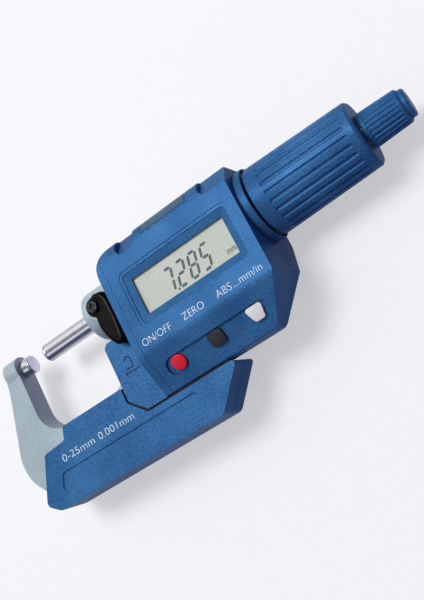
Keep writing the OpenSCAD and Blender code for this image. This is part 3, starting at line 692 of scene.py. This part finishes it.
@dataclass
class KeyRow:
    """The three keys on the sloped strip and the words above them."""

    edge: float = 0.45
    words: tuple[tuple[str, str, float, float], ...] = (
        ("label_power", "ON/OFF", 50.0, 61.5), ("label_zero", "ZERO", 66.3, 74.5),
        ("label_abs", "ABS", 79.4, 85.1), ("label_unit", "mm/in", 88.2, 96.3))
    dots_span: tuple[float, float] = (85.8, 87.7)
    dots_height: float = 2.0
    base: float = -21.2
    face: float = 14.0

    def build(self) -> None:
        """Rounds the keys' tops and prints their names."""
        for node, finish in (("button_power", RED_KEY), ("button_zero", SLATE_KEY),
                             ("button_mode", IVORY_KEY)):
            softened(node, node + "_key", (Rounding(self.edge, 4),), finish)
        for name, words, start, end in self.words:
            Lettering().place(name, words, start, end, self.base, self.face, "housing_front", PAD_INK)
        Lettering(self.dots_height).place("label_dots", "...", *self.dots_span, self.base, self.face,
                                          "housing_front", PAD_INK)


@dataclass
class Chin:
    """The covers under the lever and the open padlock sign on the front one."""

    edge: float = 0.35
    fine: float = 0.08
    sign_low: tuple[float, float] = (34.5, -24.8)
    sign_high: tuple[float, float] = (43.5, -17.6)
    face: float = 7.0
    depth: float = 0.3
    # how far around the sign its edges are looked for, and how far its painted shade stays under the face
    slack: float = 0.05
    clean: float = 0.02

    def in_painted_shade(self, spot: Vector) -> bool:
        """True for a place, in millimetres, at the bottom of the engraved sign, where shade is painted."""
        across = all(lo < c < hi for lo, c, hi in zip(self.sign_low, spot, self.sign_high))
        return across and self.face - self.depth - self.slack < spot.z < self.face - self.clean

    def build(self) -> None:
        """Rounds the covers and darkens the bottom of the engraved sign with painted shade."""
        sign = Zone((*self.sign_low, self.face - self.depth - self.slack),
                    (*self.sign_high, self.face + self.slack))
        cover = softened("chin_front", "chin_front_cover",
                         (Rounding(self.fine, 1, sign), Rounding(self.edge, 3)), PEARL_LACQUER)
        # painted shade: the faces at the bottom of the engraved sign get a dark blue
        cover.data.materials.append(SIGN_PAINTED_SHADE.material())
        for face in cover.data.polygons:
            if self.in_painted_shade(face.center / MM):
                face.material_index = 1
        softened("chin_back", "chin_back_cover", (Rounding(self.edge, 3),), PEARL_LACQUER)


@dataclass
class Grip:
    """The two insulating grip covers, their screws and the printed range."""

    edge: float = 1.0
    foot_edge: float = 2.2
    seam_edge: float = 0.3
    panel_edge: float = 0.45
    fine: float = 0.1
    face: float = 7.0
    panel: Zone = Zone((-6.5, -47.4, 6.3), (59.5, -39.6, 7.1))
    parting: Zone = Zone((-20, -60, -0.3), (90, -20, 0.3))
    seam: Zone = Zone((31, -38.5, 6.9), (74, -26, 7.1))
    foot: Zone = Zone((-30, -62, 6.9), (90, -48, 7.1))
    words: tuple[tuple[str, str, float, float], ...] = (
        ("label_range", "0-25mm", -0.2, 14.3), ("label_step", "0.001mm", 16.4, 31.7))
    letter: float = 2.4
    base: float = -37.2

    def build(self) -> None:
        """Rounds the covers, softly inside the long panel, and prints the range."""
        softened("grip_front", "grip_front_cover",
                 (Rounding(self.panel_edge, 4, self.panel), Rounding(self.fine, 2, self.parting),
                  Rounding(self.seam_edge, 3, self.seam), Rounding(self.foot_edge, 6, self.foot),
                  Rounding(self.edge, 4)), PEARL_LACQUER)
        softened("grip_back", "grip_back_cover",
                 (Rounding(self.fine, 2, self.parting), Rounding(self.edge, 4)), PEARL_LACQUER)
        softened("grip_screws", "grip_screw_heads", (Rounding(self.fine, 2),), GROUND_STEEL)
        for name, words, start, end in self.words:
            Lettering(self.letter).place(name, words, start, end, self.base, self.face, "grip_front", PAD_INK)


@dataclass
class Fluted:
    """A turned body with round-ended grooves along it, as a fine even mesh."""

    node: str
    name: str
    profile: tuple[tuple[float, float], ...]
    first: float
    last: float
    count: int
    cutter: float
    depth: float
    lip: float = 0.05
    phase: float = 0.0
    # places of the mesh's lines from a groove's middle, as shares of half the pitch
    shares: tuple[float, ...] = (0.0, 0.15, 0.27, 0.36, 0.42, 0.46, 0.5, 0.55, 0.64, 0.8)
    # length of a groove's finely meshed end, in cutter radii, and its steps
    run: float = 1.25
    end_steps: int = 8
    middle_steps: int = 6
    # one more station this far past each end
    past: float = 0.2
    # grooves are cut only where the radius is above this share of the largest one
    cut_share: float = 0.8
    crisp: float = 30.0

    def sink(self, along: float, arc: float) -> float:
        """Depth of the grooves at a point.

        Args:
            along: Station on the measuring line.
            arc: Distance around the body from the nearest groove's middle.

        Returns:
            Depth in millimetres under the turned surface.
        """
        over = max(self.first + self.cutter - along, along - self.last + self.cutter, 0.0)
        rest = self.cutter - self.depth
        bite = math.sqrt(max(self.cutter ** 2 - arc ** 2 - over ** 2, 0.0)) - rest
        still = (math.hypot(rest, self.lip) - rest) / 2
        return max((bite + math.hypot(bite, self.lip)) / 2 - still, 0.0)

    def rows(self) -> list[tuple[float, float]]:
        """Profile points with more stations over the grooves.

        Returns:
            Stations and radii from the front bore to the rear bore.
        """
        run = self.cutter * self.run
        steps = [self.first + run * k / self.end_steps for k in range(self.end_steps + 1)]
        steps += [self.last - run * k / self.end_steps for k in range(self.end_steps + 1)]
        steps += [self.first - self.past, self.last + self.past]
        span = self.last - self.first - 2 * run
        steps += [self.first + run + span * k / self.middle_steps for k in range(1, self.middle_steps)]
        rows: list[tuple[float, float]] = []
        for (x0, r0), (x1, r1) in zip(self.profile, self.profile[1:]):
            rows.append((x0, r0))
            if x1 > x0:
                rows += [(x, r0 + (r1 - r0) * (x - x0) / (x1 - x0)) for x in sorted(steps) if x0 < x < x1]
        rows.append(self.profile[-1])
        return rows

    def build(self, finish: Finish) -> bpy.types.Object:
        """Builds the body.

        Args:
            finish: Its finish.

        Returns:
            The piece that stands for the CAD node.
        """
        sector = 2 * math.pi / self.count
        half = [s * sector / 2 for s in self.shares]
        turns = sorted({k * sector + sign * h for k in range(self.count) for h in half for sign in (-1, 1)}
                       | {(k + 0.5) * sector for k in range(self.count)})
        rows = self.rows()
        points, faces = [], []
        outer = max(r for _, r in self.profile) * self.cut_share
        for x, r in rows:
            for turn in turns:
                off = (turn / sector - round(turn / sector)) * sector
                radius = r - (self.sink(x, abs(off) * r) if r > outer else 0.0)
                angle = turn + math.radians(self.phase)
                points.append((x, radius * math.cos(angle), radius * math.sin(angle)))
        n = len(turns)
        for i in range(len(rows) - 1):
            for k in range(n):
                a, b = i * n + k, i * n + (k + 1) % n
                faces.append((a, b, b + n, a + n))
        piece = mesh_piece(self.name, points, faces)
        smooth(piece, math.radians(self.crisp))
        return settle(piece, self.node, finish)


@dataclass
class ThimbleDrive:
    """The collar on the housing and the fluted thimble behind it."""

    start: float = 102.3
    end: float = 139.0
    front_r: float = 11.7
    rear_r: float = 10.9
    edge: float = 0.2
    bore: float = 9.9
    bore_depth: float = 4.0
    hole: float = 3.05
    hole_depth: float = 2.0
    lip: float = 0.1
    # size of the rounded front edge, a point halfway round it, and where the taper begins
    nose: float = 0.5
    nose_middle: tuple[float, float] = (0.12, 0.22)
    land: float = 1.5
    # rear chamfer, along and down
    rim: tuple[float, float] = (0.8, 0.7)
    grooves: int = 24
    groove_start: float = 4.6
    groove_end: float = 3.0
    cutter: float = 0.75
    depth: float = 0.5
    phase: float = 8.5

    def build(self) -> None:
        """Builds the fluted thimble and rounds the collar."""
        softened("collar_ring", "housing_collar", (Rounding(self.edge, 3),), PEARL_LACQUER)
        ahead, under = self.nose_middle
        profile = ((self.start + self.bore_depth, self.bore), (self.start + self.lip, self.bore),
                   (self.start, self.bore + self.lip), (self.start, self.front_r - self.nose),
                   (self.start + ahead, self.front_r - under), (self.start + self.nose, self.front_r),
                   (self.start + self.land, self.front_r), (self.end - self.rim[0], self.rear_r),
                   (self.end, self.rear_r - self.rim[1]), (self.end, self.hole),
                   (self.end - self.hole_depth, self.hole))
        Fluted("thimble", "fluted_thimble", profile, self.start + self.groove_start,
               self.end - self.groove_end, self.grooves, self.cutter, self.depth,
               phase=self.phase).build(PEARL_LACQUER)


@dataclass
class RatchetEnd:
    """The finely fluted ratchet knob with its cap."""

    start: float = 139.4
    end: float = 152.6
    front_r: float = 5.9
    tip_r: float = 5.5
    edge: float = 0.2
    bore: float = 4.8
    bore_depth: float = 3.0
    seat: float = 4.1
    seat_depth: float = 1.5
    lip: float = 0.1
    # size of the rounded front edge, and a point halfway round it
    nose: float = 0.4
    nose_middle: tuple[float, float] = (0.15, 0.12)
    # points of the bevelled rear edge, as distances from the end and under the tip's radius
    tip: tuple[tuple[float, float], ...] = ((0.7, 0.0), (0.55, 0.06), (0.1, 0.5), (0.0, 0.6))
    grooves: int = 24
    groove_start: float = 1.4
    groove_end: float = 1.0
    cutter: float = 0.5
    depth: float = 0.35
    shares: tuple[float, ...] = (0.0, 0.2, 0.38, 0.5, 0.58, 0.63, 0.68, 0.74, 0.82, 0.92)

    def build(self) -> None:
        """Builds the knob and rounds the cap."""
        ahead, under = self.nose_middle
        tip = tuple((self.end - back, self.tip_r - down) for back, down in self.tip)
        profile = ((self.start + self.bore_depth, self.bore), (self.start + self.lip, self.bore),
                   (self.start, self.bore + self.lip), (self.start, self.front_r - self.nose),
                   (self.start + ahead, self.front_r - under), (self.start + self.nose, self.front_r),
                   *tip, (self.end, self.seat), (self.end - self.seat_depth, self.seat))
        Fluted("ratchet_knob", "fluted_knob", profile, self.start + self.groove_start,
               self.end - self.groove_end, self.grooves, self.cutter, self.depth,
               shares=self.shares).build(PEARL_LACQUER)
        softened("ratchet_cap", "knob_cap", (Rounding(self.edge, 3),), PEARL_LACQUER)


@dataclass
class SpindleLock:
    """The black lever and its cross-headed screw."""

    axis_x: float = 38.6
    dish_r: float = 3.1
    crown: float = 1.4
    grid: float = 0.3
    fine: float = 0.2

    def drop(self, spot: Vector, rim: Sequence[tuple[Vector, Vector]], width: float) -> float:
        """How far the cast top lies under its highest level.

        Args:
            spot: Place on the top, in metres.
            rim: Edges that the top is rounded to.
            width: Radius of the rounding in millimetres.

        Returns:
            Depth in metres, as of a quarter round along the rim.
        """
        radius = near = width * MM
        for start, end in rim:
            along = end - start
            share = (spot - start).dot(along) / along.length_squared
            near = min(near, (start + along * min(max(share, 0.0), 1.0) - spot).length)
        return radius - math.sqrt(radius ** 2 - (radius - near) ** 2)

    def round_top(self, lever: bpy.types.Object) -> None:
        """Rounds the lever's flat top down to its outline.

        Args:
            lever: The lever with a sharp outline.
        """
        work = bmesh.new()
        work.from_mesh(lever.data)
        top = max(v.co.z for v in work.verts)
        axis = Vector((self.axis_x * MM, 0))
        outline, dish = [], []
        for edge in work.edges:
            if edge.calc_face_angle(0) > SHARP and all(top - v.co.z < WELD for v in edge.verts):
                ends = [v.co.xy.copy() for v in edge.verts]
                (outline if (ends[0] - axis).length > self.dish_r * MM else dish).append(ends)
        bmesh.ops.triangulate(work, faces=work.faces)
        for way in (Vector((1, 0, 0)), Vector((0, 1, 0))):
            low, high = (pick(v.co.dot(way) for v in work.verts) for pick in (min, max))
            for k in range(1, int((high - low) / (self.grid * MM)) + 1):
                spot = way * (low + k * self.grid * MM)
                bmesh.ops.bisect_plane(work, geom=work.verts[:] + work.edges[:] + work.faces[:],
                                       dist=WELD, plane_co=spot, plane_no=way)
        for vert in work.verts:
            if top - vert.co.z < self.crown * MM:
                spot = vert.co.xy
                depth = max(self.drop(spot, outline, self.crown), self.drop(spot, dish, self.fine))
                vert.co.z = min(vert.co.z, top - depth)
        work.to_mesh(lever.data)
        work.free()
        lever.data.polygons.foreach_set("use_smooth", [True] * len(lever.data.polygons))
        lever.data.set_sharp_from_angle(angle=SHARP)

    def build(self) -> None:
        """Rounds the lever's top and the edges of its dish and screw."""
        self.round_top(softened("lock_lever", "lock_lever_casting", (), GLOSS_BLACK))
        softened("lock_screw", "lock_cross_screw", (Rounding(self.fine, 3),), BLACKENED_STEEL)


@dataclass
class SmallCovers:
    """The battery door on the back and the rubber plug of the data port."""

    edge: float = 0.15

    def build(self) -> None:
        """Rounds both covers."""
        softened("battery_cap", "battery_door", (Rounding(self.edge, 3),), INLAY_LACQUER)
        softened("port_cover", "port_plug", (Rounding(self.edge, 3),), PORT_RUBBER)


@dataclass
class InnerWorks:
    """CAD nodes that keep their shape and only get a finish."""

    def build(self) -> None:
        """Dresses every node that no piece stands for."""
        for node, solid in frame["nodes"].items():
            if solid.hide_render:
                continue
            solid.data.materials.clear()
            solid.data.materials.append(FINISH_OF[Slot(SLOT_OF[node])].material())
            log.info("%s keeps its CAD shape on %s", node, BODY_OF[node])


@dataclass(frozen=True)
class Softbox:
    """A square soft lamp that looks at the middle of the object."""

    name: str
    way: tuple[float, float, float]
    distance: float
    size: float
    power: float

    def build(self, middle: Vector) -> None:
        """Hangs the lamp.

        Args:
            middle: Point that the lamp looks at, in metres.
        """
        lamp = bpy.data.lights.new(self.name, "AREA")
        lamp.size, lamp.energy = self.size, self.power
        holder = bpy.data.objects.new(self.name, lamp)
        bpy.context.scene.collection.objects.link(holder)
        way = Vector(self.way).normalized()
        holder.location = middle + way * self.distance
        holder.rotation_mode = "QUATERNION"
        holder.rotation_quaternion = (-way).to_track_quat("-Z", "Y")


@dataclass(frozen=True)
class Glow:
    """A soft bright patch of the surroundings, as tones by the cosine of the angle from its middle."""

    way: tuple[float, float, float]
    tones: tuple[tuple[float, str], ...]


@dataclass(frozen=True)
class Backdrop:
    """Paper that shows near white, also in metal and glass; the soft light that it throws back is dimmer."""

    name: str
    dark: str
    light: str
    bounce: str
    lift: float
    fibre: float

    def material(self) -> bpy.types.Material:
        """Builds the node material.

        Returns:
            The material of the sheet.
        """
        material, tree = new_material(self.name)
        path = add_node(tree, "ShaderNodeLightPath").outputs
        mirrored = add_node(tree, "ShaderNodeMath", {"operation": "MAXIMUM"},
                            {0: path["Is Glossy Ray"], 1: path["Is Transmission Ray"]})
        seen = add_node(tree, "ShaderNodeMath", {"operation": "MAXIMUM"},
                        {0: path["Is Camera Ray"], 1: mirrored.outputs[0]}).outputs[0]
        place = add_node(tree, "ShaderNodeTexCoord").outputs["Object"]
        fibre = add_node(tree, "ShaderNodeTexNoise", {"Scale": per_mm(self.fibre), "Detail": 2.0},
                         {"Vector": place})
        ramp = add_node(tree, "ShaderNodeValToRGB", None, {"Fac": fibre.outputs["Fac"]})
        set_ramp(ramp, ((0.35, self.dark), (0.65, self.light)))
        tone = add_node(tree, "ShaderNodeMix", {"data_type": "RGBA", 6: linear(self.bounce)},
                        {0: seen, 7: ramp.outputs["Color"]})
        lift = add_node(tree, "ShaderNodeMath", {"operation": "MULTIPLY", 1: self.lift}, {0: seen})
        shader = add_node(tree, "ShaderNodeBsdfPrincipled",
                          {"Roughness": 0.9, "Specular IOR Level": 0.1, "Emission Color": linear("#ffffff")},
                          {"Base Color": tone.outputs[2], "Emission Strength": lift.outputs[0]})
        add_node(tree, "ShaderNodeOutputMaterial", None, {"Surface": shader.outputs["BSDF"]})
        return material


# matt white paper with a barely visible fibre, its shadows lifted for a clean white ground
WHITE_PAPER = Backdrop("matt_white_paper", "#b2b2b3", "#b8b8b9", bounce="#a6a0c4", lift=0.5, fibre=0.8)


@dataclass
class Studio:
    """Floor, lamps, surroundings and the camera."""

    middle: tuple[float, float, float] = (0.07, -0.016, 0.0)
    eye: tuple[float, float, float] = (177.434, -86.164, 247.552)
    right: tuple[float, float, float] = (0.77056, -0.44639, -0.45494)
    down: tuple[float, float, float] = (-0.51112, -0.85921, -0.02265)
    focal_px: float = 881.0
    frame_px: float = 600.0
    sensor: float = 36.0
    near: float = 0.01
    far: float = 20.0
    floor_size: float = 3.0
    room_light: float = 1.45
    glows: tuple[Glow, ...] = (
        Glow((-0.52, 0.68, 0.52), ((0.0, "#42425c"), (0.45, "#545466"), (0.75, "#6c6c76"), (0.9, "#9a9a9f"),
                                   (0.965, "#f2f2f4"))),
        Glow((-0.52, -0.46, 0.72), ((0.88, "#000000"), (0.95, "#3c3c3e"), (0.98, "#b0b0b2"),
                                    (0.996, "#f0f0f2"))),
    )
    boxes: tuple[Softbox, ...] = (
        Softbox("key_softbox", (-0.15, 0.33, 0.93), 1.3, 0.5, 11.9),
    )

    def floor(self) -> None:
        """Lays a pale sheet under the object's lowest point."""
        low = CAD_BOX[0].z / MM
        half = self.floor_size / 2 / MM
        sheet = mesh_piece("floor_sheet", [(-half, -half, low), (half, -half, low), (half, half, low),
                                           (-half, half, low)], [(0, 1, 2, 3)])
        sheet.data.materials.append(WHITE_PAPER.material())

    def surroundings(self) -> None:
        """Fills the room with the light of its soft bright patches."""
        world = bpy.data.worlds.new("studio_room")
        world.use_nodes = True
        tree = world.node_tree
        tree.nodes.clear()
        way = add_node(tree, "ShaderNodeTexCoord").outputs["Generated"]
        light = None
        for patch in self.glows:
            facing = add_node(tree, "ShaderNodeVectorMath",
                              {"operation": "DOT_PRODUCT", 1: Vector(patch.way).normalized()}, {0: way})
            tone = add_node(tree, "ShaderNodeValToRGB", None, {"Fac": facing.outputs["Value"]})
            set_ramp(tone, patch.tones)
            shade = tone.outputs["Color"]
            light = shade if light is None else add_node(
                tree, "ShaderNodeMix", {"data_type": "RGBA", "blend_type": "ADD", "Factor": 1.0},
                {6: light, 7: shade}).outputs[2]
        glow = add_node(tree, "ShaderNodeBackground", {"Strength": self.room_light}, {"Color": light})
        add_node(tree, "ShaderNodeOutputWorld", None, {"Surface": glow.outputs["Background"]})
        bpy.context.scene.world = world

    def camera(self) -> None:
        """Sets the camera at the photograph's viewing angle."""
        lens = bpy.data.cameras.new("view_camera")
        lens.sensor_width = self.sensor
        lens.lens = self.focal_px * self.sensor / self.frame_px
        lens.clip_start, lens.clip_end = self.near, self.far
        holder = bpy.data.objects.new("view_camera", lens)
        bpy.context.scene.collection.objects.link(holder)
        right, up = Vector(self.right).normalized(), -Vector(self.down).normalized()
        turn = Matrix((right, up, right.cross(up))).transposed()
        holder.matrix_world = Matrix.Translation(Vector(self.eye) * MM) @ turn.to_4x4()
        bpy.context.scene.camera = holder

    def build(self) -> None:
        """Sets up everything around the object."""
        bpy.context.scene.view_settings.view_transform = "Standard"
        self.floor()
        self.surroundings()
        for box in self.boxes:
            box.build(Vector(self.middle))
        self.camera()


def main() -> None:
    """Builds the micrometer's looks in order."""
    logging.basicConfig(level=logging.INFO, format="%(message)s")
    Studio().build()
    for part in (EnamelFrame(), MeasuringRods(), DisplayHousing(), Display(), KeyRow(), Chin(), Grip(),
                 ThimbleDrive(), RatchetEnd(), SpindleLock(), SmallCovers(), InnerWorks()):
        log.info("building %s", type(part).__name__)
        part.build()


if __name__ == "__main__":
    main()
